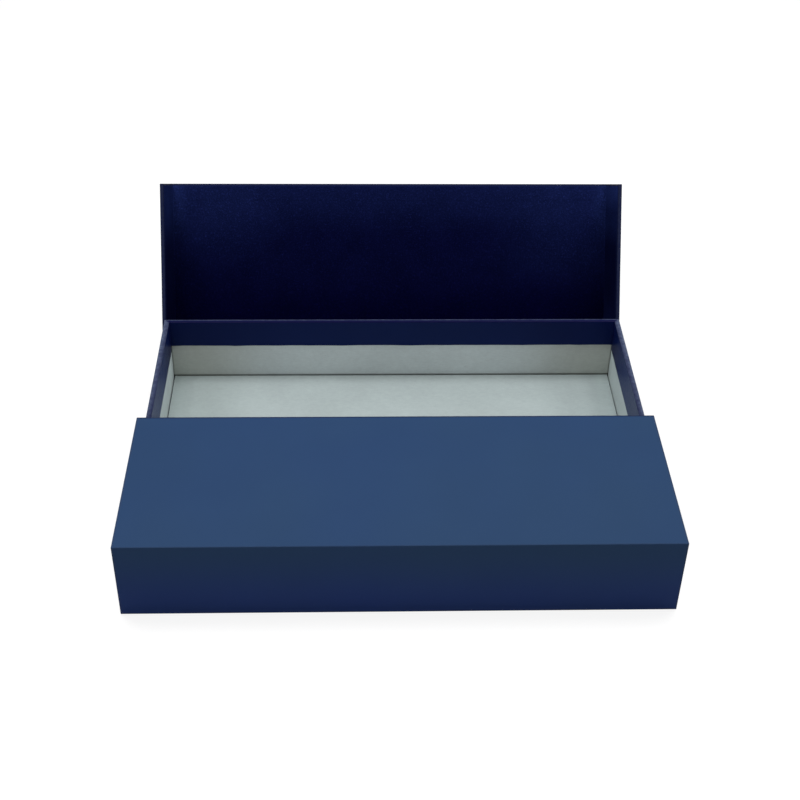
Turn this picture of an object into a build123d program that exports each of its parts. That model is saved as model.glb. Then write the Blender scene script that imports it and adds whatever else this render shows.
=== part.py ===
"""Double door gift box: a wrapped board case whose two half doors close over a tray.

Millimetres, +Z up. X runs along the box, the front is towards -Y. The origin is the middle of
the base's underside, on the surface that the box stands on. The front door is closed. The rear
wall lies flat behind the box and the rear door leans back from it.

The case is one blank of board, scored with V grooves and wrapped in one sheet, so each panel
has bevelled ends that close against the next one at a fold. Each panel is drawn by its
section: `run` goes along the panel from its first fold, `depth` goes from its outer face in.
"""

import os

from build123d import *

# What the box holds: a stack of 297 x 210 sheets with room to lift them out.
inside_length = 308.0
inside_width = 212.0
inside_depth = 46.0

# Materials of the case and the tray.
paper = 0.2
case_board = 2.0
tray_board = 3.0
floor_board = 2.0
corner_tape = 0.1

# Room between the parts.
end_clearance = 2.5
wall_clearance = 1.0
lid_clearance = 0.6
door_gap = 3.0
cheek_clearance = 0.4
floor_gap = 0.8
corner_gap = 0.5

# Folds: the axis lies this far inside both outer faces, in a round seat.
fold_inset = 0.6
fold_radius = 0.45
seat_radius = 0.5
bevel_clearance = 0.1
butt_clearance = 0.05

# Paper turned over the edges, and the reveal that a lining sheet leaves of it.
case_turn_in = 12.0
tray_turn_in_long = 20.0
tray_turn_in_end = 24.0
tray_turn_under = 15.0
lining_reveal = 1.2
tape_leg = 16.0

# The doors meet this far behind the middle of the box, so the front one is the wider.
seam_offset = 2.1

# How far the open rear door leans back past upright.
rear_door_lean = 30.0

# Sizes that follow from those above.
wall_stack = paper + case_board + 2 * paper
cheek_stack = paper + case_board + paper
tray_wall = paper + tray_board
tray_length = inside_length + 2 * tray_wall
tray_width = inside_width + 2 * tray_wall
box_length = tray_length + 2 * (cheek_stack + end_clearance)
box_width = tray_width + 2 * (wall_stack + wall_clearance)
tray_bottom = wall_stack
floor_top = tray_bottom + paper + floor_board
rim_height = floor_top + inside_depth
box_height = rim_height + lid_clearance + wall_stack
front_door_width = (box_width - door_gap) / 2 + seam_offset
rear_door_width = (box_width - door_gap) / 2 - seam_offset
cheek_depth = box_height - wall_stack - cheek_clearance
half_length = box_length / 2
half_width = box_width / 2

# Fold axes, all parallel to X, as (y, z).
front_bottom_axis = (fold_inset - half_width, fold_inset)
front_top_axis = (fold_inset - half_width, box_height - fold_inset)
rear_bottom_axis = (half_width - fold_inset, fold_inset)
rear_top_axis = (half_width - fold_inset, box_height - fold_inset)

# Planes that carry a panel's section: run along local x, depth along local y.
base_plane = Plane(origin=(0, -half_width, 0), x_dir=(0, 1, 0), z_dir=(1, 0, 0))
wall_plane = Plane(origin=(0, -half_width, 0), x_dir=(0, 0, 1), z_dir=(-1, 0, 0))
door_plane = Plane(origin=(0, -half_width, box_height), x_dir=(0, 1, 0), z_dir=(-1, 0, 0))


def block(x0, x1, y0, y1, z0, z1):
    """Box between two corners."""
    size = Box(x1 - x0, y1 - y0, z1 - z0, align=(Align.MIN, Align.MIN, Align.MIN))
    return Pos(x0, y0, z0) * size


def folded_end(depth):
    """Run at which a panel starts at this depth: square outside the fold axis, then bevelled."""
    if depth <= fold_inset:
        return fold_inset + butt_clearance
    return depth + bevel_clearance


def panel_layer(plane, length, outer, inner, half, open_end=None):
    """Slice of a panel between two depths, `half` to each side of the middle.

    Both ends are bevelled for a fold, unless open_end gives the run of a plain far edge.
    """
    steps = [outer, inner]
    if outer < fold_inset < inner:
        steps = [outer, fold_inset, inner]
    near = [(folded_end(depth), depth) for depth in steps]
    if open_end is None:
        far = [(length - run, depth) for run, depth in reversed(near)]
    else:
        far = [(open_end, inner), (open_end, outer)]
    face = plane * make_face(Polyline(*near, *far, close=True))
    return extrude(face, amount=half, both=True)


def fold_rod(axis, radius):
    """Round bar along a fold axis over the whole length of the box."""
    y, z = axis
    return Pos(0, y, z) * Rot(0, 90, 0) * Cylinder(radius, box_length)


def panel_board(plane, length, open_end=None):
    """Board of one panel: bare at its folds, inside the paper everywhere else."""
    half = half_length - paper
    return panel_layer(plane, length, paper, paper + case_board, half, open_end)


def panel_wrap(plane, length):
    """Paper over the outer face and both side edges, turned in on the inner face."""
    turned = paper + case_board + paper
    lip = half_length - case_turn_in
    skin = panel_layer(plane, length, 0, turned, half_length)
    skin -= panel_board(plane, length)
    return skin - panel_layer(plane, length, paper + case_board, turned, lip)


def panel_lining(plane, length, half, open_end=None, lip=None):
    """Lining sheet: its middle lies on the board, its rim on the turned-in paper."""
    seat = paper + case_board
    far_lip = None if open_end is None else open_end + lining_reveal - case_turn_in
    middle = panel_layer(plane, length, seat, seat + paper, lip, far_lip)
    return middle + panel_layer(plane, length, seat + paper, wall_stack, half, open_end)


def seated(solid, *axes):
    """Cut the round seats of the folds out of a panel's piece."""
    for axis in axes:
        solid -= fold_rod(axis, seat_radius)
    return solid


def door_board(width):
    """Board of a door's top panel, closed over the front of the box."""
    return panel_board(door_plane, box_height, width - paper)


def cheek_block(width, side, skin):
    """Side cheek under the door's panel: its outline, or its board inside a skin of paper."""
    outer = half_length - skin
    inner = half_length - cheek_stack + skin
    near = wall_stack + cheek_clearance + skin - half_width
    far = width - skin - half_width
    bottom = box_height - cheek_depth + skin
    top = box_height - paper - case_board
    x0, x1 = sorted((side * inner, side * outer))
    return block(x0, x1, near, far, bottom, top)


def door_tapes(width):
    """Paper tapes that hold each cheek to the panel, laid over the board's long corner."""
    tapes = []
    near = wall_stack + cheek_clearance + paper - half_width
    far = width - paper - half_width
    inside = half_length - paper
    outside = inside + corner_tape
    top = box_height - paper
    for side in (-1, 1):
        x0, x1 = sorted((side * (inside - tape_leg), side * outside))
        over = block(x0, x1, near, far, top, top + corner_tape)
        x0, x1 = sorted((side * inside, side * outside))
        tapes.append(over + block(x0, x1, near, far, top - tape_leg, top + corner_tape))
    return tapes


def door_wrap(width):
    """One sheet over the panel and both cheeks, turned in at every free edge."""
    turned = paper + case_board + paper
    skin = panel_layer(door_plane, box_height, 0, turned, half_length, width)
    for side in (-1, 1):
        skin += cheek_block(width, side, 0)
    skin -= door_board(width)
    for side in (-1, 1):
        skin -= cheek_block(width, side, paper)
    lip = half_length - cheek_stack - case_turn_in
    opening = panel_layer(door_plane, box_height, paper + case_board, turned, lip,
                          width - case_turn_in)
    skin -= opening
    for tape in door_tapes(width):
        skin -= tape
    return skin


def door_lining(width):
    """Lining sheet inside the door, over the panel and on along both cheeks."""
    inside = half_length - cheek_stack
    near = wall_stack + cheek_clearance + lining_reveal - half_width
    far = width - lining_reveal - half_width
    bottom = box_height - cheek_depth + lining_reveal
    sheet = panel_lining(door_plane, box_height, inside, width - lining_reveal,
                         inside - case_turn_in)
    for side in (-1, 1):
        x0, x1 = sorted((side * inside, side * (inside - paper)))
        sheet += block(x0, x1, near, far, bottom, box_height - wall_stack)
    return sheet


def tray_ring(inset_outer, inset_inner, z0, z1):
    """Rectangular ring between two insets from the tray's outer faces."""
    rings = []
    for inset in (inset_outer, inset_inner):
        rings.append(Rectangle(tray_length - 2 * inset, tray_width - 2 * inset))
    return Pos(0, 0, z0) * extrude(rings[0] - rings[1], amount=z1 - z0)


def tray_walls():
    """Four walls: the long ones run through, the end ones stand between them."""
    z0 = tray_bottom + paper
    z1 = rim_height - paper
    x = tray_length / 2 - paper
    y = tray_width / 2 - paper
    end = y - tray_board - corner_gap
    return {
        "tray_front_wall": block(-x, x, -y, tray_board - y, z0, z1),
        "tray_rear_wall": block(-x, x, y - tray_board, y, z0, z1),
        "tray_left_wall": block(-x, tray_board - x, -end, end, z0, z1),
        "tray_right_wall": block(x - tray_board, x, -end, end, z0, z1),
    }


def tray_tapes():
    """Stay tapes round the tray's four upright corners, under the wrap."""
    z0 = tray_bottom + paper
    z1 = rim_height - paper
    x = tray_length / 2 - paper
    y = tray_width / 2 - paper
    tapes = []
    for side in (-1, 1):
        for face in (-1, 1):
            x0, x1 = sorted((side * (x - tape_leg), side * (x + corner_tape)))
            y0, y1 = sorted((face * y, face * (y + corner_tape)))
            tape = block(x0, x1, y0, y1, z0, z1)
            x0, x1 = sorted((side * x, side * (x + corner_tape)))
            y0, y1 = sorted((face * (y - tape_leg), face * (y + corner_tape)))
            tapes.append(tape + block(x0, x1, y0, y1, z0, z1))
    return tapes


def tray_wrap():
    """Sheet round the tray, over its rim and down inside, and turned under its bottom."""
    lining = tray_wall + paper
    skin = tray_ring(0, paper, tray_bottom, rim_height)
    skin += tray_ring(0, lining, rim_height - paper, rim_height)
    skin += tray_ring(tray_wall, lining, rim_height - tray_turn_in_long, rim_height)
    skin += tray_ring(0, tray_turn_under, tray_bottom, tray_bottom + paper)
    low = rim_height - tray_turn_in_end
    high = rim_height - tray_turn_in_long
    y = inside_width / 2
    for side in (-1, 1):
        face = inside_length / 2
        x0, x1 = sorted((side * face, side * (face - paper)))
        skin += block(x0, x1, -y, y, low, high)
    for tape in tray_tapes():
        skin -= tape
    return skin


def floor_panel():
    """Floor board of the tray, loose between the walls by a thin seam."""
    x = inside_length / 2 - floor_gap
    y = inside_width / 2 - floor_gap
    return block(-x, x, -y, y, tray_bottom + paper, floor_top)


def to_rear(solid):
    """Same piece at the rear: every panel is symmetric from left to right."""
    return Rot(0, 0, 180) * solid


def turned_about(solid, axis, degrees):
    """Piece turned about a fold, positive as +Y turns towards +Z."""
    y, z = axis
    return Pos(0, y, z) * Rot(degrees, 0, 0) * Pos(0, -y, -z) * solid


def rear_wall_open(solid):
    """Rear wall's piece laid flat on the surface behind the box."""
    return turned_about(to_rear(solid), rear_bottom_axis, -90)


def rear_door_open(solid):
    """Rear door's piece: leaned back about its own fold, then laid back with the wall."""
    leaned = turned_about(to_rear(solid), rear_top_axis, -rear_door_lean)
    return turned_about(leaned, rear_bottom_axis, -90)


def side_name(side, swap):
    """Left or right as seen from the front, also for a piece that is turned to the rear."""
    left = side < 0
    return "left" if left != swap else "right"


def door_pieces(width, swap):
    """Pieces of one door, closed over the front; swap where it is to be turned to the rear."""
    door = {
        "board": seated(door_board(width), front_top_axis),
        "wrap": seated(door_wrap(width), front_top_axis),
        "lining": door_lining(width),
        "corner_tapes": door_tapes(width),
    }
    for side in (-1, 1):
        door[side_name(side, swap) + "_cheek"] = cheek_block(width, side, paper)
    return door


def make_pieces():
    """Every piece of the box by its node's name, as one solid or a list of equal ones."""
    bottom_axes = (front_bottom_axis, rear_bottom_axis)
    wall_axes = (front_bottom_axis, front_top_axis)
    margin = half_length - lining_reveal
    lip = half_length - case_turn_in

    pieces = {
        "base_board": seated(panel_board(base_plane, box_width), *bottom_axes),
        "base_wrap": seated(panel_wrap(base_plane, box_width), *bottom_axes),
        "base_lining": panel_lining(base_plane, box_width, margin, lip=lip),
        "tray_floor_board": floor_panel(),
        "tray_wrap": tray_wrap(),
        "tray_corner_tapes": tray_tapes(),
        "front_bottom_fold": fold_rod(front_bottom_axis, fold_radius),
        "rear_bottom_fold": fold_rod(rear_bottom_axis, fold_radius),
        "front_top_fold": fold_rod(front_top_axis, fold_radius),
        "rear_top_fold": turned_about(fold_rod(rear_top_axis, fold_radius),
                                      rear_bottom_axis, -90),
    }
    pieces.update(tray_walls())

    wall = {
        "board": seated(panel_board(wall_plane, box_height), *wall_axes),
        "wrap": seated(panel_wrap(wall_plane, box_height), *wall_axes),
        "lining": panel_lining(wall_plane, box_height, margin, lip=lip),
    }
    for part, solid in wall.items():
        pieces["front_wall_" + part] = solid
        pieces["rear_wall_" + part] = rear_wall_open(solid)

    for name, solid in door_pieces(front_door_width, False).items():
        pieces["front_door_" + name] = solid
    for name, solid in door_pieces(rear_door_width, True).items():
        if isinstance(solid, list):
            pieces["rear_door_" + name] = [rear_door_open(part) for part in solid]
        else:
            pieces["rear_door_" + name] = rear_door_open(solid)
    return pieces


def as_shape(piece):
    """One exportable shape from a solid or a list of separate solids."""
    if isinstance(piece, list):
        return Compound(children=[part.solid() for part in piece])
    return piece


pieces = make_pieces()

if __name__ == "__main__":
    os.makedirs("parts", exist_ok=True)
    for name, piece in pieces.items():
        export_step(as_shape(piece), "parts/" + name + ".step")
    print("box", box_length, "x", box_width, "x", box_height)
    print("tray", tray_length, "x", tray_width, "rim at", rim_height)
    print("doors", front_door_width, "and", rear_door_width, "cheek", cheek_depth)
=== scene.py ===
"""Looks of the double door gift box: paper-wrapped case, lining sheets, creases and tray.

Sizes are millimetres and become metres when a mesh is made. X runs along the box, the front is
towards -Y, +Z is up, and the origin is the middle of the base's underside. A panel is drawn by
`across` (along X), `run` (along the panel from its first fold) and `depth` (from its outer
face in), and then laid in its place.

Some light and shade is painted into the finishes: each paper mixes a lit tone and a shaded
tone by its painted light, its edges are paler from rubbing and painted highlight, and the
grey boards carry painted shade.
"""

import math

import bmesh
import bpy
import numpy as np
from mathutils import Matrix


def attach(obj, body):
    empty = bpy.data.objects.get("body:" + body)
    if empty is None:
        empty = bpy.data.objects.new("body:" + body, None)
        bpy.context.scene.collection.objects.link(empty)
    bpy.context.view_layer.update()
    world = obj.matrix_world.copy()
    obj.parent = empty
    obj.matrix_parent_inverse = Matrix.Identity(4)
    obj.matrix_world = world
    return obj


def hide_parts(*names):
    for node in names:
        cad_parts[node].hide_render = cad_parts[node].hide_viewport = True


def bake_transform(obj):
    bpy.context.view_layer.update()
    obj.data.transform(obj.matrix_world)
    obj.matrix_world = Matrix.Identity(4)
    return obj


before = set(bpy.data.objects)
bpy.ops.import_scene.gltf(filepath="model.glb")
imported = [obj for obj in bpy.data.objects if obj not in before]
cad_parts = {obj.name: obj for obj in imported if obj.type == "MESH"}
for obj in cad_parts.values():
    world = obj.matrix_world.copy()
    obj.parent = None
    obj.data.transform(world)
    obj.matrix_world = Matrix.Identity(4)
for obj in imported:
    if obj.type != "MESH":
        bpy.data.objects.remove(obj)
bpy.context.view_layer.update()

# Meshes are in metres.
millimetre = 0.001
millimetres_per_metre = 1000

# Sizes of the box, as the solids have them.
half_length = 162.1
half_width = 112.8
box_height = 54.0
front_door_width = 113.4
rear_door_width = 109.2
cheek_depth = 51.0
cheek_near = 3.0
papered_board = 2.4
wall_stack = 2.6
fold_inset = 0.6
bevel_clearance = 0.1
skin_clearance = 0.05
paper = 0.2
rear_door_lean = 30.0

# The tray.
tray_half_length = 157.2
tray_half_width = 109.2
tray_bottom = 2.6
rim_height = 50.8
tray_wall = 3.2
turn_in_long = 20.0
turn_in_end = 24.0
turn_under = 15.0

# Paper over an edge and its turn-in, how pale rubbing and painted highlight make the edge,
# and how far the lining sheets stay back from it.
edge_radius = 0.45
edge_wear_and_highlight = 0.45
case_turn_in = 12.0
lining_reveal = 1.2

# Extra points beside an edge, which keep a flat face flat, and those down a panel's side.
near_margin = 1.2
far_margin = 4.0
panel_side_rows = (fold_inset, 1.6)

# A lining sheet's cut edge, which is a little lower and rubbed, and the sheet's underside.
cut_width = 0.15
cut_drop = 0.1
rubbed_width = 0.6
glue_gap = 0.004

rear_bottom_axis = (half_width - fold_inset, fold_inset)
rear_top_axis = (half_width - fold_inset, box_height - fold_inset)
front_bottom_axis = (fold_inset - half_width, fold_inset)
front_top_axis = (fold_inset - half_width, box_height - fold_inset)


# Places of the panels, from (across, run, depth) to (x, y, z).

def on_base(across, run, depth):
    """The base lies flat, its first fold at the front."""
    return np.stack([across, run - half_width, depth], -1)


def on_front_wall(across, run, depth):
    """The wall stands on its first fold, its outer face to the front."""
    return np.stack([across, depth - half_width, run], -1)


def on_front_door(across, run, depth):
    """The door lies on top of the box, its first fold at the front."""
    return np.stack([across, run - half_width, box_height - depth], -1)


def turned(points, axis, degrees):
    """Points turned about a line parallel to X: the usual plane rotation of (y, z)."""
    y0, z0 = axis
    c, s = math.cos(math.radians(degrees)), math.sin(math.radians(degrees))
    x, y, z = points[..., 0], points[..., 1] - y0, points[..., 2] - z0
    return np.stack([x, y0 + y * c - z * s, z0 + y * s + z * c], -1)


def to_rear(points):
    """Points turned half a turn about Z, which carries a front panel to the rear."""
    return points * np.array([-1.0, -1.0, 1.0])


def on_rear_wall(across, run, depth):
    """The rear wall lies flat behind the box, its outer face down."""
    return turned(to_rear(on_front_wall(across, run, depth)), rear_bottom_axis, -90)


def on_rear_door(across, run, depth):
    """The rear door leans back from the far edge of the rear wall."""
    leaned = turned(to_rear(on_front_door(across, run, depth)), rear_top_axis, -rear_door_lean)
    return turned(leaned, rear_bottom_axis, -90)


# Meshes.

def quarter_turn(steps=6):
    """Sines and cosines of even steps from 0 to 90 degrees."""
    a = np.linspace(0, np.pi / 2, steps + 1)
    return np.sin(a), np.cos(a)


def smooth(value):
    """Smooth step from 0 to 1: v squared times (3 - 2 v), with v held between 0 and 1."""
    held = np.clip(value, 0, 1)
    return held * held * (3 - 2 * held)


def ripple(value, wavelength, seed):
    """Gentle unevenness between -1 and 1: the mean of four sines of unlike wavelengths."""
    phases = np.random.default_rng(seed).uniform(0, 2 * np.pi, 4)
    lengths = wavelength * np.array([1.0, 0.61, 0.37, 0.23])
    waves = [np.sin(2 * np.pi * value / l + p) for l, p in zip(lengths, phases)]
    return sum(waves) / 4


def make_piece(name, points, faces, finish, marks):
    """Mesh object from points in millimetres and index lists, with doubles merged.

    `marks` is two numbers per point, kept as attributes: how pale an edge looks there, from
    rubbing and painted highlight, and how much painted light the paper has.
    """
    same_place = 1e-6
    sharp_angle = math.radians(40)
    mesh = bpy.data.meshes.new(name)
    mesh.from_pydata((np.reshape(points, (-1, 3)) * millimetre).tolist(), [], faces)
    for column, mark in enumerate(("wear_and_highlight", "lit_tone")):
        layer = mesh.attributes.new(mark, "FLOAT", "POINT")
        layer.data.foreach_set("value", marks[:, column].astype(np.float32))
    shape = bmesh.new()
    shape.from_mesh(mesh)
    bmesh.ops.remove_doubles(shape, verts=shape.verts, dist=same_place)
    bmesh.ops.dissolve_degenerate(shape, edges=shape.edges, dist=same_place)
    bmesh.ops.recalc_face_normals(shape, faces=shape.faces)
    shape.to_mesh(mesh)
    shape.free()
    mesh.polygons.foreach_set("use_smooth", np.ones(len(mesh.polygons), bool))
    mesh.set_sharp_from_angle(angle=sharp_angle)
    mesh.materials.append(finish)
    piece = bpy.data.objects.new(name, mesh)
    bpy.context.scene.collection.objects.link(piece)
    return piece


def grid_faces(rows, columns, wrap_columns=False, offset=0, flip=False):
    """Index quads of a grid of points, rows by columns, closed round its columns if asked."""
    i, j = np.meshgrid(np.arange(rows - 1), np.arange(columns - (not wrap_columns)), indexing="ij")
    k = (j + 1) % columns
    corners = (i * columns + j, i * columns + k, (i + 1) * columns + k, (i + 1) * columns + j)
    quads = np.stack(corners, -1).reshape(-1, 4) + offset
    return (quads[:, ::-1] if flip else quads).tolist()


def half_section(half, top, bottom, top_radius, bottom_radius, side_rows, steps=6):
    """Right half of a slab's section from its outer face round to its inner face.

    Rows are (across, depth, outward across, outward depth, paleness from rubbing and painted
    highlight). Each corner is a quarter circle: its centre plus the radius times (sin a, -cos a)
    for a from 0 to 90 degrees, and on the inner side the same arc mirrored. A corner of no
    radius is one row. A slab that is narrower than the margins, such as a cheek, has no points
    in them.
    """
    s, c = quarter_turn(steps)
    # Rounded edges are paler, from rubbing and painted highlight.
    wear_and_highlight_level = np.full(steps + 1, edge_wear_and_highlight)
    rows = []
    margins = (far_margin, near_margin) if half > far_margin + top_radius else ()
    rows += [[half - top_radius - m, top, 0, -1, 0] for m in margins]
    if top_radius > 0:
        upper = [half - top_radius * (1 - s), top + top_radius * (1 - c), s, -c, wear_and_highlight_level]
        rows += np.stack(upper, -1).tolist()
    else:
        rows.append([half, top, 1, 0, 0])
    rows += [[half, depth, 1, 0, 0] for depth in side_rows]
    if bottom_radius > 0:
        lower = [half - bottom_radius * (1 - c), bottom - bottom_radius * (1 - s), c, s, wear_and_highlight_level]
        rows += np.stack(lower, -1).tolist()
    else:
        rows.append([half, bottom, 1, 0, 0])
    rows += [[half - bottom_radius - m, bottom, 0, 1, 0] for m in reversed(margins)]
    return np.array(rows)


def closed_section(right, centre=0.0):
    """Whole section from its right half, mirrored about the line across = centre."""
    left = right[::-1] * np.array([-1, 1, -1, 1, 1])
    loop = np.vstack([right, left])
    loop[:, 0] += centre
    return loop


def fold_start(depth):
    """Run at which a panel starts at a depth: square outside the fold axis, then bevelled."""
    crease_gap = 0.02
    return np.where(depth <= fold_inset, fold_inset + crease_gap, depth + skin_clearance)


def wrapped_body(place, loop, near, far, near_round, far_round, outside=0, steps=5):
    """Slab wrapped in paper: a closed section carried along the run.

    A rounded end draws the section in along its outward direction by r (1 - cos a) while the
    run goes on by r sin a. An end at a fold starts where fold_start puts each depth. The
    faces that look out get the lit tone as painted light; those that look in, the rim of a
    free end and the side away from `outside`, which is the sign of across where a cheek looks
    out, keep the darker shaded tone as painted shade.
    """
    # Faces that look out get painted light, those that look in painted shade.
    shaded_from = 0.5
    across, depth, out_across, out_depth, wear_and_highlight_share = loop.T
    looks_in = out_depth - outside * out_across
    lit_tone = 1 - smooth(looks_in / shaded_from)
    stations = []
    a = np.linspace(np.pi / 2, 0, steps + 1)
    if near_round > 0:
        for t in a:
            inset = near_round * (1 - math.cos(t))
            stations.append((near + near_round * (1 - math.sin(t)), inset, edge_wear_and_highlight))
        stations.append((near + near_round + near_margin, 0, 0))
    else:
        stations.append((near + fold_start(depth), 0, 0))
        stations.append((near + far_margin, 0, 0))
    if far_round > 0:
        stations.append((far - far_round - near_margin, 0, 0))
        for t in a[::-1]:
            inset = far_round * (1 - math.cos(t))
            stations.append((far - far_round * (1 - math.sin(t)), inset, edge_wear_and_highlight))
    else:
        stations.append((far - far_margin, 0, 0))
        stations.append((far - fold_start(depth), 0, 0))
    rings, marks = [], []
    for run, inset, wear_and_highlight_level in stations:
        rings.append(place(across - out_across * inset, run + 0 * depth, depth - out_depth * inset))
        marks.append(np.stack([np.maximum(wear_and_highlight_share, wear_and_highlight_level), lit_tone * (1 - wear_and_highlight_level / edge_wear_and_highlight)], -1))
    count = len(loop)
    faces = grid_faces(len(rings), count, wrap_columns=True)
    faces += end_faces(depth, 0, count, near_round == 0)
    faces += end_faces(depth, (len(rings) - 1) * count, count, far_round == 0)
    return np.concatenate(rings), faces, np.concatenate(marks)


def end_faces(depth, offset, count, at_fold):
    """Faces that close an end: one for a flat end, two for a bevelled one."""
    index = np.arange(count)
    if not at_fold:
        return [(index + offset).tolist()]
    half = count // 2
    knee = int(np.argmax(depth[:half] >= fold_inset - 1e-6))
    outer = np.concatenate([index[:knee + 1], index[count - 1 - knee:]]) + offset
    inner = index[knee:count - knee] + offset
    return [outer.tolist(), inner.tolist()]


def joined(*bodies):
    """Several closed bodies as the points, faces and marks of one mesh."""
    points, faces, marks, start = [], [], [], 0
    for body_points, body_faces, body_marks in bodies:
        points.append(body_points)
        faces += [[i + start for i in face] for face in body_faces]
        marks.append(body_marks)
        start += len(body_points)
    return np.concatenate(points), faces, np.concatenate(marks)


def sheet_body(top, under, wear_and_highlight_marks, lit_tone):
    """Closed thin sheet from two grids of points: both faces and the strip round their rim."""
    rows, columns = top.shape[:2]
    half = rows * columns
    index = np.arange(half).reshape(rows, columns)
    rim = np.concatenate([index[0, :-1], index[:-1, -1], index[-1, :0:-1], index[:0:-1, 0]])
    after = np.roll(rim, -1)
    strip = np.stack([rim, after, after + half, rim + half], -1).tolist()
    faces = grid_faces(rows, columns) + grid_faces(rows, columns, offset=half, flip=True) + strip
    points = np.concatenate([top.reshape(-1, 3), under.reshape(-1, 3)])
    marks = np.stack([np.ravel(wear_and_highlight_marks), np.ravel(lit_tone)], -1)
    return points, faces, np.concatenate([marks, marks])


def panel_body(place, length):
    """Wall or base: a slab with a fold at both ends, papered over its side edges."""
    rows = half_section(half_length, 0, papered_board, edge_radius, edge_radius, panel_side_rows)
    return wrapped_body(place, closed_section(rows), 0, length, 0, 0)


def door_body(place, width):
    """Door's panel with a fold at one end and a free edge at the other, and both cheeks."""
    panel = half_section(half_length, 0, papered_board, edge_radius, 0, panel_side_rows)
    bodies = [wrapped_body(place, closed_section(panel), 0, width, 0, edge_radius)]
    half_thick = papered_board / 2
    side_rows = (far_margin, cheek_depth - near_margin)
    cheek = half_section(half_thick, papered_board, cheek_depth, 0, edge_radius, side_rows)
    for side in (-1, 1):
        loop = closed_section(cheek, side * (half_length - half_thick))
        bodies.append(wrapped_body(place, loop, cheek_near, width, edge_radius, edge_radius, side))
    return joined(*bodies)


def lining_depth(from_side, from_end, to_rim, x, r, seed):
    """Depth of a lining sheet's face inside a panel.

    It is the panel's full stack over the turned-in paper, and 0.12 mm less where the sheet
    lies straight on the board; the step between them is a smooth step 2 mm wide. A ripple
    of 0.02 mm only ever lowers the face, and fades out at the rim.
    """
    step_width, step_depth, uneven_depth, calm_rim = 2.0, 0.12, 0.02, 3.0
    half_step = step_width / 2
    sunk = smooth((from_side - case_turn_in + lining_reveal + half_step) / step_width)
    sunk = sunk * smooth((from_end - case_turn_in + lining_reveal + half_step) / step_width)
    uneven = uneven_depth * ripple(x, 70, seed) * ripple(r, 40, seed + 1)
    return wall_stack - step_depth * sunk + np.minimum(uneven, 0) * smooth(to_rim / calm_rim)


def spread(length, near_step, far_step, pitch):
    """Places from 0 to length: close together at the rims and at the turned-in steps."""
    past_step = case_turn_in + 2.0
    rim = np.array([0, cut_width, 1.0, far_margin])
    step = case_turn_in - lining_reveal + np.array([-1.0, -0.5, 0, 0.5, 1.0])
    middle = np.arange(past_step, length - past_step, pitch)
    places = [rim, length - rim, middle]
    if near_step:
        places.append(step)
    if far_step:
        places.append(length - step)
    return np.unique(np.round(np.concatenate(places), 4))


def lining_body(place, half, start, end, seed):
    """Lining sheet of a wall or the base, flat between two folds, its rim a little lower."""
    no_step = 99.0
    lit_tone = 0.3
    across = spread(2 * half, near_step=True, far_step=True, pitch=12.0) - half
    run = start + spread(end - start, near_step=False, far_step=False, pitch=8.0)
    x, r = np.meshgrid(across, run, indexing="ij")
    from_side = half - np.abs(x)
    to_rim = np.minimum(np.minimum(from_side, end - r), r - start)
    depth = lining_depth(from_side, no_step, to_rim, x, r, seed)
    depth = depth - cut_drop * (1 - smooth(to_rim / cut_width))
    under = place(x, r, 0 * r + papered_board + glue_gap)
    return sheet_body(place(x, r, depth), under, 1 - smooth(to_rim / rubbed_width), lit_tone + 0 * r)


def door_lining_painted_light(w, share, flat, on_cheek):
    """How much painted light a door's lining has: sums of smooth steps of the share of the run.

    `w` is the way along the sheet, and `flat` is how far its flat part reaches. The painted
    light grows towards the door's free edge, more so near the cheeks and in the panel's corners
    there, and most at the end of the cheek that lies at negative across. Where `on_cheek` is 1,
    a cheek's own painted light holds.
    """
    from_middle = np.abs(w)
    beside = smooth((from_middle - 60) / 70) * smooth((share - np.where(w < 0, 0.2, 0.35)) / 0.4)
    corner = smooth((from_middle - flat + 12) / 12) * smooth((share - 0.55) / 0.35)
    panel = 0.062 * smooth(share / 0.5) + 0.17 * smooth((share - 0.6) / 0.38) + 0.12 * beside
    panel = panel + 0.3 * corner
    negative = 0.12 + 0.3 * smooth((share - 0.56) / 0.2) + 0.58 * smooth((share - 0.8) / 0.17)
    negative = negative + 0.2 * (1 - smooth(share / 0.3))
    positive = 0.03 + 0.09 * smooth(share / 0.5) + 0.5 * smooth((share - 0.5) / 0.42)
    return panel + (np.where(w < 0, negative, positive) - panel) * on_cheek


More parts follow.
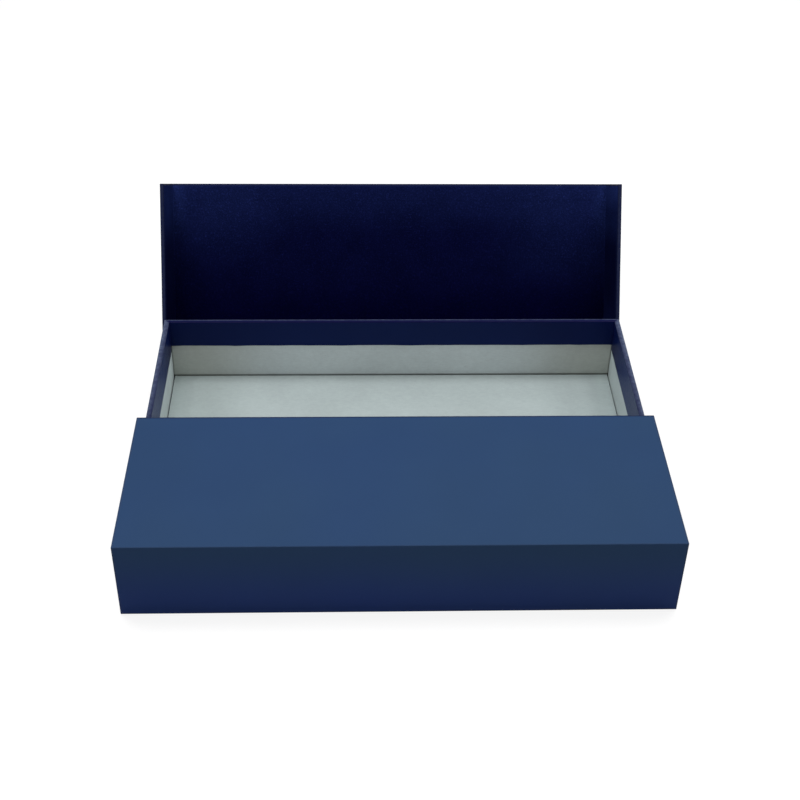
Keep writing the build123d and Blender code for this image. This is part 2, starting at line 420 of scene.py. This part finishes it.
def door_lining_body(place, start, end, seed, radius=0.8):
    """Lining sheet of a door: over the panel, round an inner corner and along each cheek.

    The first parameter is the way along the sheet from one cheek's free edge to the other's.
    On the panel it is the distance across; at a corner it runs round a quarter circle; on a
    cheek it is the depth. The second parameter is the run, which starts later on a cheek.
    """
    inside = half_length - papered_board
    flat = inside - radius
    bend = radius * np.pi / 2
    up = cheek_depth - lining_reveal - wall_stack - radius
    on_panel = spread(flat, near_step=False, far_step=True, pitch=12.0)[:-3]
    at_corner = flat + bend * np.linspace(0, 1, 7)
    up_cheek = flat + bend + up * np.linspace(0, 1, 9)[1:]
    extra = [flat - 0.3, flat + bend + up - cut_width]
    away = np.unique(np.concatenate([on_panel, at_corner, up_cheek, extra]))
    along = np.concatenate([-away[:0:-1], away])
    share = spread(end - start, near_step=False, far_step=True, pitch=8.0) / (end - start)
    w, t = np.meshgrid(along, share, indexing="ij")
    beyond = np.abs(w) - flat
    angle = np.clip(beyond / radius, 0, np.pi / 2)
    climb = np.maximum(beyond - bend, 0)
    on_cheek = smooth((beyond - 0.4 * bend) / (0.6 * bend))
    begin = start + on_cheek * (cheek_near + lining_reveal - start)
    r = begin + t * (end - begin)
    reach = np.minimum(np.abs(w), flat)
    to_rim = np.minimum(np.minimum(flat + bend + up - np.abs(w), end - r), r - begin)
    face = lining_depth(flat - reach, end - r, to_rim, w, r, seed)
    out_x, out_depth = np.sin(angle) * np.sign(w), np.cos(angle)
    x = np.sign(w) * (reach + radius * np.sin(angle))
    depth = wall_stack + radius * (1 - np.cos(angle)) + climb + (face - wall_stack) * out_depth
    gap = wall_stack - papered_board
    thin = gap * 0.97
    back = cut_drop * (1 - smooth(to_rim / cut_width))
    top = place(x - out_x * gap + back * out_x, r, depth - back * out_depth)
    sunk = face - papered_board - gap + thin
    under = place(x - out_x * (gap - thin), r, depth - sunk * out_depth)
    # Painted light and shade over the door's lining.
    lit_tone = door_lining_painted_light(w, (r - start) / (end - start), flat, on_cheek)
    return sheet_body(top, under, 1 - smooth(to_rim / rubbed_width), lit_tone)


def crease_body(axis, first, last, steps=8):
    """Creased paper at a fold: a wedge from the fold's axis to the outer face.

    Its section is the axis and an arc of the fold's inset about it, from one angle to the
    other in degrees from +Y towards +Z.
    """
    end_gap, crease_wear_and_highlight, columns = 0.12, 0.2, 41
    a = np.radians(np.linspace(first, last, steps + 1))
    y = np.concatenate([[0.0], fold_inset * np.cos(a)]) + axis[0]
    z = np.concatenate([[0.0], fold_inset * np.sin(a)]) + axis[1]
    reach = half_length - end_gap
    x = np.linspace(-reach, reach, columns)
    rings = np.stack(np.broadcast_arrays(x[:, None], y[None, :], z[None, :]), -1)
    count = len(y)
    faces = grid_faces(len(x), count, wrap_columns=True)
    faces += [list(range(count)), list(range((len(x) - 1) * count, len(x) * count))]
    # The crease's arc is paler, from rubbing and painted highlight.
    wear_and_highlight_marks = np.concatenate([[0.0], np.full(steps + 1, crease_wear_and_highlight)])
    wear_and_highlight_marks = np.broadcast_to(wear_and_highlight_marks, rings.shape[:2])
    marks = np.stack([np.ravel(wear_and_highlight_marks), np.ones(wear_and_highlight_marks.size)], -1)
    return rings.reshape(-1, 3), faces, marks


def tray_profile():
    """Section of the tray's sheet as (inset, z, is lip, paleness from rubbing and painted
    highlight, is band), a closed thin loop.

    From under the bottom, round the foot, up the outer face, over the rim by two quarter
    circles and down the inner face to the lip, then back along the sheet's own thickness.
    A lip's z counts from the lowest point of the sheet inside the wall.
    """
    # Painted highlight along the rim's outer edge, fading across its top.
    outer_rim_highlight = 0.56
    rim_highlight_falloff = ((0.3, 0.42), (0.9, 0.14), (1.5, 0.02))
    s, c = quarter_turn()
    r = edge_radius
    inner = tray_wall + paper
    rows = [(turn_under, tray_bottom, 0, 0), (2.0, tray_bottom, 0, 0)]
    rows += [(r - r * u, tray_bottom + r - r * v, 0, 1) for u, v in zip(s, c)]
    rows += [(0, tray_bottom + 1.5, 0, 0), (0, rim_height - 1.4, 0, 0)]
    rows += [(r - r * v, rim_height - r + r * u, 0, outer_rim_highlight) for u, v in zip(s, c)]
    rows += [(r + past, rim_height, 0, wear_and_highlight_level) for past, wear_and_highlight_level in rim_highlight_falloff]
    rows += [(inner - r - 0.35, rim_height, 0, 0)]
    rows += [(inner - r + r * u, rim_height - r + r * v, 0, 0) for u, v in zip(s, c)]
    rows += [(inner, rim_height - 1.4, 0, 0), (inner, rim_height - 8, 0, 0)]
    rows += [(inner, 0.8, 1, 0), (inner - 0.02, 0.1, 1, 0.2)]
    rows += [(inner - 0.1, 0, 1, 0.3), (tray_wall, 0, 1, 0.2)]
    rows += [(tray_wall, rim_height - paper, 0, 0), (paper, rim_height - paper, 0, 0)]
    rows += [(paper, tray_bottom + paper, 0, 0), (turn_under, tray_bottom + paper, 0, 0)]
    rows = np.array(rows, float)
    is_band = (rows[:, 0] >= inner - 0.12) & ((rows[:, 1] <= rim_height - r) | (rows[:, 2] > 0))
    return np.column_stack([rows, is_band])


def tray_body(per_side=40, per_corner=8, radius=edge_radius):
    """Tray's sheet: the profile carried round a rectangle with mitred, rounded corners.

    At an inset i a corner is an arc of radius R - i about the corner's centre, or one point
    on the mitre where i is more than R. A side is the straight line between two corners. The
    lip hangs 20 mm below the rim on the long walls and 24 mm on the end walls, give or take
    a ripple of 0.3 mm. The rim of an end wall is paler over its whole width, more and more
    towards the rear, as painted highlight and rubbing, and most near the four corners, which
    rubbing has frayed, through to the board at the right ones. The band inside each wall
    carries painted light, least near the corners, and a pale painted sheen in the middle of
    the end walls.
    """
    lip_ripple = 0.3
    inset, height, is_lip, wear_and_highlight_share, is_band = tray_profile().T
    centre = np.maximum(inset, radius)
    round_off = np.maximum(radius - inset, 0)
    rings, wear_and_highlights, band_lights = [], [], []
    corners = ((1, -1, -90), (1, 1, 0), (-1, 1, 90), (-1, -1, 180))
    arcs = []
    for sx, sy, first in corners:
        angle = np.radians(np.linspace(first, first + 90, per_corner))[:, None]
        x = sx * (tray_half_length - centre) + round_off * np.cos(angle)
        y = sy * (tray_half_width - centre) + round_off * np.sin(angle)
        arcs.append(np.stack([x, y], -1))
    shares = 0.5 - 0.5 * np.cos(np.linspace(0, np.pi, per_side + 1)[1:-1, None, None])
    for k, arc in enumerate(arcs):
        following = arcs[(k + 1) % 4]
        run = arc[-1] * (1 - shares) + following[0] * shares
        plan = np.concatenate([arc, run])
        on_end = np.zeros(len(plan))
        if k % 2 == 0:
            on_end[per_corner // 2:] = 1
        else:
            on_end[:per_corner // 2] = 1
        along = np.where(on_end > 0, plan[:, 0, 1], plan[:, 0, 0])
        turn_in = np.where(on_end > 0, turn_in_end, turn_in_long)
        turn_in = turn_in + lip_ripple * ripple(along, 60, 30 + k)
        z = np.where(is_lip > 0, rim_height - turn_in[:, None] + height, height)
        rings.append(np.concatenate([plan, z[:, :, None]], -1))
        from_corner = np.sum((tray_half_length, tray_half_width) - np.abs(plan[:, 0]), -1)[:, None]
        most = np.where(plan[:, :1, 0] > 0, 2.4, 1.0)
        fray_length = 4 + 10 * on_end[:, None]
        fray_width = 0.8 + 2.0 * on_end[:, None]
        fray = most * (1 - smooth((from_corner - 1) / fray_length))
        # End rims: painted highlight and rubbing, more towards the rear.
        rearward = smooth((plan[:, :1, 1] + 40) / 140)
        on_rim = (height >= rim_height - edge_radius) & (is_lip == 0)
        across_rim = on_rim * (1 - 0.55 * smooth((inset - 0.4) / 2.6))
        wear_and_highlight_level = np.maximum(wear_and_highlight_share, fray * on_rim * (inset <= fray_width))
        wear_and_highlight_level = np.maximum(wear_and_highlight_level, on_end[:, None] * (0.5 + 0.45 * rearward) * across_rim)
        from_middle = np.abs(plan[:, :1, 1])
        # Painted sheen on the end walls' bands, near their middle.
        near_middle = smooth((62 - from_middle) / 60) * on_end[:, None]
        wear_and_highlights.append(np.maximum(wear_and_highlight_level, 0.42 * near_middle * is_band))
        # Painted light on the bands, least near the corners.
        end_band_light = 0.12 + 0.88 * smooth((104 - from_middle) / 60)
        long_band_light = 0.58 - 0.17 * smooth((np.abs(plan[:, :1, 0]) - 50) / 70)
        band_lights.append(np.where(on_end[:, None] > 0, end_band_light, long_band_light) * is_band)
    rings = np.concatenate(rings)
    rings = np.concatenate([rings, rings[:1]])
    wear_and_highlights, band_lights = np.concatenate(wear_and_highlights), np.concatenate(band_lights)
    wear_and_highlights, band_lights = np.concatenate([wear_and_highlights, wear_and_highlights[:1]]), np.concatenate([band_lights, band_lights[:1]])
    faces = grid_faces(rings.shape[0], rings.shape[1], wrap_columns=True)
    marks = np.stack([np.ravel(wear_and_highlights), np.ravel(band_lights)], -1)
    return rings.reshape(-1, 3), faces, marks


# Finishes.

class Value:
    """A socket that carries a number, so that sums of sockets read as plain expressions."""

    def __init__(self, shader, socket):
        self.shader, self.socket = shader, socket

    def maths(self, operation, a, b):
        return self.shader.node("ShaderNodeMath", {"operation": operation}, {0: a, 1: b})

    def __add__(self, other):
        return self.maths("ADD", self, other)

    def __sub__(self, other):
        return self.maths("SUBTRACT", self, other)

    def __mul__(self, other):
        return self.maths("MULTIPLY", self, other)

    def __rsub__(self, other):
        return self.maths("SUBTRACT", other, self)

    def __abs__(self):
        return self.maths("ABSOLUTE", self, 0.0)

    __radd__, __rmul__ = __add__, __mul__


class Shader:
    """Nodes of one material or of the world."""

    def __init__(self, tree):
        self.tree = tree
        self.tree.nodes.clear()

    def node(self, kind, settings=None, values=None, out=0):
        """Any node: its settings first, then the values or links of its sockets."""
        made = self.tree.nodes.new(kind)
        for name, setting in (settings or {}).items():
            setattr(made, name, setting)
        for key, value in (values or {}).items():
            if isinstance(value, Value):
                self.tree.links.new(value.socket, made.inputs[key])
            else:
                made.inputs[key].default_value = value
        return Value(self, made.outputs[out])

    def place(self, scale=(1, 1, 1)):
        """Object coordinates, stretched along an axis where a pattern has a direction."""
        plain = self.node("ShaderNodeTexCoord", out="Object")
        return self.node("ShaderNodeMapping", None, {"Vector": plain, "Scale": scale})

    def noise(self, where, size_mm, detail=2.0, rough=0.5, low=0.3, high=0.7):
        """Cloudy pattern from 0 to 1 whose blots are about this many millimetres."""
        values = {"Vector": where, "Scale": millimetres_per_metre / size_mm,
                  "Detail": detail, "Roughness": rough}
        return self.held(self.node("ShaderNodeTexNoise", None, values, "Fac"), low, high)

    def mixed(self, share, a, b):
        """Colour between two colours, by the mix node's numbered sockets for colours."""
        return self.node("ShaderNodeMix", {"data_type": "RGBA"}, {0: share, 6: a, 7: b}, 2)

    def multiplied(self, colour, level):
        """Colour made darker or lighter by a number."""
        grey = self.node("ShaderNodeCombineXYZ", None, {"X": level, "Y": level, "Z": level})
        return self.node("ShaderNodeVectorMath", {"operation": "MULTIPLY"}, {0: colour, 1: grey})

    def mark(self, name):
        """The piece's own attribute: paler edges from rubbing and painted highlight, or painted
        light.
        """
        return self.node("ShaderNodeAttribute", {"attribute_name": name}, out="Fac")

    def held(self, value, low=0.0, high=1.0):
        """0 where a value is low to 1 where it is high, and no more outside them."""
        values = {"Value": value, "From Min": low, "From Max": high}
        return self.node("ShaderNodeMapRange", None, values)

    def eased(self, value, low, high):
        """As held, but by a smooth step."""
        values = {"Value": value, "From Min": low, "From Max": high}
        return self.node("ShaderNodeMapRange", {"interpolation_type": "SMOOTHSTEP"}, values)

    def along(self, axis):
        """Millimetres along an axis, X, Y or Z."""
        plain = self.node("ShaderNodeTexCoord", out="Object")
        metres = self.node("ShaderNodeSeparateXYZ", None, {"Vector": plain}, axis)
        return millimetres_per_metre * metres

    def stained(self, colour, share, tint):
        """Colour multiplied by a tint where a share is 1."""
        veil = self.mixed(share, (1, 1, 1, 1), (*tint, 1))
        return self.node("ShaderNodeVectorMath", {"operation": "MULTIPLY"}, {0: colour, 1: veil})

    def finished(self, colour, roughness, height, depth_mm, gloss):
        """Surface shader with a bump; what is the same everywhere is set on its own socket."""
        raised = {"Strength": 1.0, "Distance": depth_mm * millimetre, "Height": height}
        bump = self.node("ShaderNodeBump", None, raised, "Normal")
        values = {"Base Color": colour, "Roughness": roughness, "Normal": bump,
                  "Specular IOR Level": gloss}
        self.ended(self.node("ShaderNodeBsdfPrincipled", None, values))

    def ended(self, shader, output="ShaderNodeOutputMaterial"):
        """Ends the nodes in their output."""
        last = self.tree.nodes.new(output)
        self.tree.links.new(shader.socket, last.inputs["Surface"])


def new_material(name):
    """Empty material and the maker of its nodes."""
    material = bpy.data.materials.new(name)
    material.use_nodes = True
    return material, Shader(material.node_tree)


def linear(level):
    """Linear light of a screen value of 0 to 255, by the sRGB curve and its straight foot."""
    return ((level / 255 + 0.055) / 1.055) ** 2.4 if level > 10 else level / 255 / 12.92


def shade(red, green, blue):
    """Colour as a shader takes it, from screen values of 0 to 255."""
    return (linear(red), linear(green), linear(blue), 1.0)


def toned(colour, factor):
    """Same colour, darker or lighter."""
    return (*[c * factor for c in colour[:3]], 1.0)


def dyed_paper(name, shaded_tone, lit_tone, edge_colour, roughness, gloss, grain_mm,
               mottle=0.08, foot=(1, 1, 1)):
    """Dyed paper: a fine grain, a shaded tone and a lit tone mixed by painted light, and edges
    paler from rubbing and painted highlight.

    Where rubbing has gone through the paper, the board below shows greenish grey. `foot` is a
    painted shade: it tints the foot of the front wall bluer, which the photo shows bluer than
    these lamps alone would.
    """
    material, f = new_material(name)
    where = f.place()
    grain = f.noise(where, grain_mm, detail=3.0, rough=0.6)
    felt = f.noise(where, 1.6, detail=3.0, rough=0.6)
    cloud = f.noise(where, 38.0, detail=2.0, rough=0.5)
    # A shaded tone and a lit tone, mixed by the painted light of each point.
    dye = f.mixed(f.mark("lit_tone"), shaded_tone, lit_tone)
    uneven = cloud * 0.4 + grain * 0.35 + felt * 0.25
    dye = f.multiplied(dye, 1 - mottle + 2 * mottle * uneven)
    dye = f.stained(dye, f.noise(where, 90.0, detail=1.0, rough=0.5), (1.05, 1.03, 0.93))
    # Painted shade: a bluer tint low on the front wall.
    low = 1 - f.eased(f.along("Z"), 8, 53.5)
    ahead = 1 - f.eased(f.along("Y"), -112.5, -108)
    dye = f.stained(dye, low * ahead, foot)
    fray = f.noise(where, 2.5, detail=4.0, rough=0.7, low=0.35, high=0.7)
    # Pale edges: partly rubbing, partly painted highlight.
    wear_and_highlight_share = f.held(f.mark("wear_and_highlight") * (0.35 + 0.65 * fray))
    dye = f.mixed(wear_and_highlight_share, dye, edge_colour)
    through = f.held(f.mark("wear_and_highlight") * (0.6 + 0.4 * fray), 1.0, 1.4)
    dye = f.mixed(through, dye, shade(76, 84, 82))
    rough = roughness + 0.08 * felt - 0.05 * wear_and_highlight_share
    f.finished(dye, rough, height=grain * 0.5 + felt * 0.5, depth_mm=0.03, gloss=gloss)
    return material


def lining_paper(name, shaded_tone, lit_tone, edge_colour):
    """Lining paper: a bump of pebble grain, and dye with fine pale specks and soft patches."""
    material, f = new_material(name)
    where = f.place()
    cells = {"Vector": where, "Scale": 850.0, "Smoothness": 0.6}
    pebble = f.node("ShaderNodeTexVoronoi", {"feature": "SMOOTH_F1"}, cells, "Distance")
    speck = f.noise(where, 1.1, detail=3.0, rough=0.7, low=0.46, high=0.78)
    patch = f.noise(where, 22.0, detail=4.0, rough=0.6, low=0.25, high=0.75)
    # A shaded tone and a lit tone, mixed by the painted light of each point.
    dye = f.mixed(f.mark("lit_tone"), shaded_tone, lit_tone)
    dye = f.multiplied(dye, 0.7 + 0.34 * patch + 0.3 * speck + 1.5 * speck * speck)
    dye = f.mixed(f.held(f.mark("wear_and_highlight")) * 0.6, dye, edge_colour)
    grain = (1 - pebble) * 0.7 + speck * 0.3
    f.finished(dye, roughness=0.74 + 0.12 * patch, height=grain, depth_mm=0.08, gloss=0.0)
    return material


def bare_board(name, colour, painted_shading):
    """Unlined grey board: pale and dark hairs drawn out along X, soft clouds and dark specks.

    The last argument takes the maker of the nodes and the board's colour and gives it back
    with its painted shade.
    """
    material, f = new_material(name)
    where = f.place()
    hairs = f.noise(f.place((0.25, 1, 1)), 0.9, detail=4.0, rough=0.7)
    felt = f.noise(where, 3.5, detail=4.0, rough=0.6)
    cloud = f.noise(where, 45.0, detail=3.0, rough=0.55)
    specks = f.noise(where, 0.8, detail=2.0, rough=0.5, low=0.68, high=0.76)
    uneven = hairs * 0.35 + felt * 0.25 + cloud * 0.4
    pulp = f.mixed(uneven, toned(colour, 0.86), toned(colour, 1.1))
    pulp = f.mixed(specks * 0.25, pulp, shade(92, 98, 92))
    grain = hairs * 0.6 + felt * 0.4
    f.finished(painted_shading(f, pulp), roughness=0.86 + 0.08 * felt, height=grain, depth_mm=0.05, gloss=0.2)
    return material


def darker_foot_line(f, pulp, tint):
    """Line of a darker tint where a wall meets the tray's floor."""
    return f.stained(pulp, 1 - f.eased(f.along("Z"), 5.1, 6.0), tint)


def long_wall_painted_shade(f, pulp):
    """Long wall: painted shade, browner and darker towards its ends, and a dark line in the corners.
    """
    from_middle = abs(f.along("X"))
    # Painted shade, browner, towards the ends.
    pulp = f.stained(pulp, f.eased(from_middle, 70, 142), (0.75, 0.72, 0.66))
    pulp = f.stained(pulp, f.held(from_middle, 153.0, 153.8), (0.5, 0.5, 0.5))
    return darker_foot_line(f, pulp, (0.36, 0.38, 0.36))


def end_wall_painted_shade(f, pulp):
    """End wall: painted shade, palest in the middle of its length, with a fainter line at its foot.
    """
    # Painted shade away from the middle.
    pulp = f.stained(pulp, f.eased(abs(f.along("Y")), 5, 65), (0.88, 0.88, 0.88))
    return darker_foot_line(f, pulp, (0.9, 0.9, 0.9))


def floor_painted_shade(f, pulp):
    """Tray's floor: painted shade, darker towards the rear and both ends.

    A painted paler strip beside the end walls offsets the shadow that they cast under these
    lamps, which the photo doesn't show.
    """
    # Painted shade towards the rear and both ends; a painted paler strip beside the end walls.
    pulp = f.stained(pulp, f.eased(f.along("Y"), 15, 100), (0.88, 0.88, 0.88))
    pulp = f.stained(pulp, f.eased(f.along("Y"), 62, 104), (0.93, 0.93, 0.93))
    pulp = f.stained(pulp, f.eased(0 - f.along("X"), 85, 135), (0.83, 0.84, 0.83))
    pulp = f.stained(pulp, f.eased(f.along("X"), 85, 135), (0.89, 0.9, 0.9))
    return f.stained(pulp, f.eased(abs(f.along("X")), 139, 151), (1.3, 1.3, 1.3))


def case_board_unshaded(f, pulp):
    """Boards of the case, which paper covers: no painted shade."""
    return pulp


navy_wrap = dyed_paper("navy wrap paper", shade(12, 19, 57), shade(38, 61, 96), shade(50, 56, 74),
                       roughness=0.5, gloss=0.05, grain_mm=0.45, mottle=0.05,
                       foot=(0.95, 0.84, 1.26))
# The tray's paper is a darker, shaded copy of the wrap's paper, as painted shade.
navy_tray_shaded = dyed_paper("navy tray paper", shade(4, 6, 52), shade(18, 40, 99), shade(94, 105, 129),
                       roughness=0.34, gloss=0.07, grain_mm=0.45)
navy_lining = lining_paper("navy lining paper", shade(3, 3, 32), shade(32, 45, 99), shade(24, 30, 62))
case_board = bare_board("grey case board", shade(182, 194, 193), case_board_unshaded)
# The wall boards are painted lighter than the floor board, as painted light.
long_wall_board_lit = bare_board("grey long wall board", shade(212, 221, 222), long_wall_painted_shade)
end_wall_board_lit = bare_board("grey end wall board", shade(208, 220, 220), end_wall_painted_shade)
floor_board = bare_board("grey floor board", shade(164, 175, 175), floor_painted_shade)


# Pieces.

def dressed(name, body, finish, rides_on, slot, *nodes):
    """Piece that rides on one body and stands for the nodes that it replaces."""
    points, faces, marks = body
    piece = make_piece(name, points, faces, finish, marks)
    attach(piece, rides_on)
    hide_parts(*nodes)


wrap_slot, lining_slot = "navy_wrap_paper", "navy_lining_paper"
lining_start = wall_stack + bevel_clearance
box_width = 2 * half_width

dressed("base_paper", panel_body(on_base, box_width), navy_wrap, "base", wrap_slot, "base_wrap")
for wall, place in (("front_wall", on_front_wall), ("rear_wall", on_rear_wall)):
    body = panel_body(place, box_height)
    dressed(wall + "_paper", body, navy_wrap, wall, wrap_slot, wall + "_wrap")
for door, place, width in (("front_door", on_front_door, front_door_width),
                           ("rear_door", on_rear_door, rear_door_width)):
    body = door_body(place, width)
    dressed(door + "_paper", body, navy_wrap, door, wrap_slot, door + "_wrap", door + "_corner_tapes")

side_half = half_length - lining_reveal
base_lining = lining_body(on_base, side_half, lining_start, box_width - lining_start, 1)
dressed("base_lining_sheet", base_lining, navy_lining, "base", lining_slot, "base_lining")
for wall, place, seed in (("front_wall", on_front_wall, 3), ("rear_wall", on_rear_wall, 5)):
    body = lining_body(place, side_half, lining_start, box_height - lining_start, seed)
    dressed(wall + "_lining_sheet", body, navy_lining, wall, lining_slot, wall + "_lining")
for door, place, width, seed in (("front_door", on_front_door, front_door_width, 7),
                                 ("rear_door", on_rear_door, rear_door_width, 9)):
    body = door_lining_body(place, lining_start, width - lining_reveal, seed)
    dressed(door + "_lining_sheet", body, navy_lining, door, lining_slot, door + "_lining")

dressed("tray_paper", tray_body(), navy_tray_shaded, "base", wrap_slot, "tray_wrap", "tray_corner_tapes")


def crease(name, node, axis, first, last):
    """Crease at a fold, from the first end of its arc to the last one, in place of the fold's node.
    """
    points, faces, marks = crease_body(axis, first, last)
    piece = make_piece(name, points, faces, navy_wrap, marks)
    y, z = axis
    ends = []
    for angle in (first, last):
        a = math.radians(angle)
        end_y, end_z = y + fold_inset * math.cos(a), z + fold_inset * math.sin(a)
        ends.append((0, end_y * millimetre, end_z * millimetre))
    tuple(ends[0])
    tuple(ends[1])
    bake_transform(piece)
    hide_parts(node)


rear_top_open = turned(np.array([0, *rear_top_axis]), rear_bottom_axis, -90)[1:]
crease("front_bottom_crease", "front_bottom_fold", front_bottom_axis, 270, 180)
crease("front_top_crease", "front_top_fold", front_top_axis, 180, 90)
crease("rear_bottom_crease", "rear_bottom_fold", rear_bottom_axis, 266, 274)
crease("rear_top_crease", "rear_top_fold", rear_top_open, 270, 360 - rear_door_lean)

board_of = {"tray_floor_board": floor_board, "tray_front_wall": long_wall_board_lit,
            "tray_rear_wall": long_wall_board_lit, "tray_left_wall": end_wall_board_lit,
            "tray_right_wall": end_wall_board_lit}
for node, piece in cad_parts.items():
    if piece.hide_render:
        continue
    finish = board_of.get(node, case_board)
    piece.data.materials.clear()
    piece.data.materials.append(finish)


# Floor, light and camera.

def floor_finish():
    """Pale table that a camera sees nearly white, and that keeps the object's shadow."""
    shown_shadow, glow_strength = 0.42, 0.85
    material, f = new_material("pale table")
    cloud = f.noise(f.place(), 60, detail=2.0, rough=0.5)
    table = f.mixed(cloud, (0.5, 0.5, 0.5, 1), (0.48, 0.48, 0.48, 1))
    matt = f.node("ShaderNodeBsdfDiffuse", None, {"Color": table})
    veiled = f.node("ShaderNodeBsdfDiffuse", None, {"Color": f.multiplied(table, shown_shadow)})
    glow = f.node("ShaderNodeEmission", None, {"Color": (1, 1, 1, 1), "Strength": glow_strength})
    both = f.node("ShaderNodeAddShader", None, {0: veiled, 1: glow})
    path = f.node("ShaderNodeLightPath", out="Is Camera Ray")
    shader = f.node("ShaderNodeMixShader", None, {0: path, 1: matt, 2: both})
    f.ended(shader)
    return material


def stage_floor():
    """Flat floor just under the box: a grid of (x, y) at one height."""
    reach, places, below_box = 4000, 9, 0.3
    line = np.linspace(-reach, reach, places)
    x, y = np.meshgrid(line, line, indexing="ij")
    grid = np.stack([x, y, 0 * x - below_box], -1)
    mesh = bpy.data.meshes.new("floor")
    mesh.from_pydata((grid.reshape(-1, 3) * millimetre).tolist(), [], grid_faces(places, places))
    mesh.materials.append(floor_finish())
    floor = bpy.data.objects.new("floor", mesh)
    bpy.context.scene.collection.objects.link(floor)


def soft_light(name, direction, distance, size, power):
    """Square lamp that faces the box from a direction given as (x, y, z)."""
    lamp = bpy.data.lights.new(name, "AREA")
    lamp.size, lamp.energy = size, power
    holder = bpy.data.objects.new(name, lamp)
    bpy.context.scene.collection.objects.link(holder)
    toward = np.array(direction) / np.linalg.norm(direction)
    holder.location = toward * distance
    holder.rotation_euler = (0, math.acos(toward[2]), math.atan2(toward[1], toward[0]))


def soft_room():
    """Soft light from all round, brightest overhead; a camera sees plain white past the box."""
    low_light, added_overhead = 0.14, 0.24
    world = bpy.data.worlds.new("soft room")
    bpy.context.scene.world = world
    world.use_nodes = True
    f = Shader(world.node_tree)
    direction = f.node("ShaderNodeTexCoord", out="Generated")
    height = f.node("ShaderNodeSeparateXYZ", None, {"Vector": direction}, "Z")
    strength = low_light + added_overhead * f.held(height)
    white = (1.0, 1.0, 1.0, 1.0)
    room = f.node("ShaderNodeBackground", None, {"Color": white, "Strength": strength})
    seen = f.node("ShaderNodeBackground", None, {"Color": white, "Strength": 1.0})
    path = f.node("ShaderNodeLightPath", out="Is Camera Ray")
    both = f.node("ShaderNodeMixShader", None, {0: path, 1: room, 2: seen})
    f.ended(both, "ShaderNodeOutputWorld")


stage_floor()
soft_room()
soft_light("key", (0.37, 0.17, 1.05), distance=1.126, size=0.45, power=7.4)
soft_light("left fill", (-0.36, 0.14, 1.05), distance=1.12, size=0.3, power=6.0)
soft_light("front fill", (-0.1, -0.85, 0.52), distance=1.6, size=0.8, power=3.3)

lens = bpy.data.cameras.new("camera")
lens.lens = 61.332
lens.sensor_width = 36.0
lens.shift_y = -0.075
lens.clip_start = 0.01
camera = bpy.data.objects.new("camera", lens)
camera.location = (-0.0247, -0.6567, 0.6002)
camera.rotation_euler = [math.radians(a) for a in (53.4884, -0.9575, -1.5275)]
bpy.context.scene.collection.objects.link(camera)
bpy.context.scene.camera = camera
bpy.context.scene.view_settings.view_transform = "Standard"
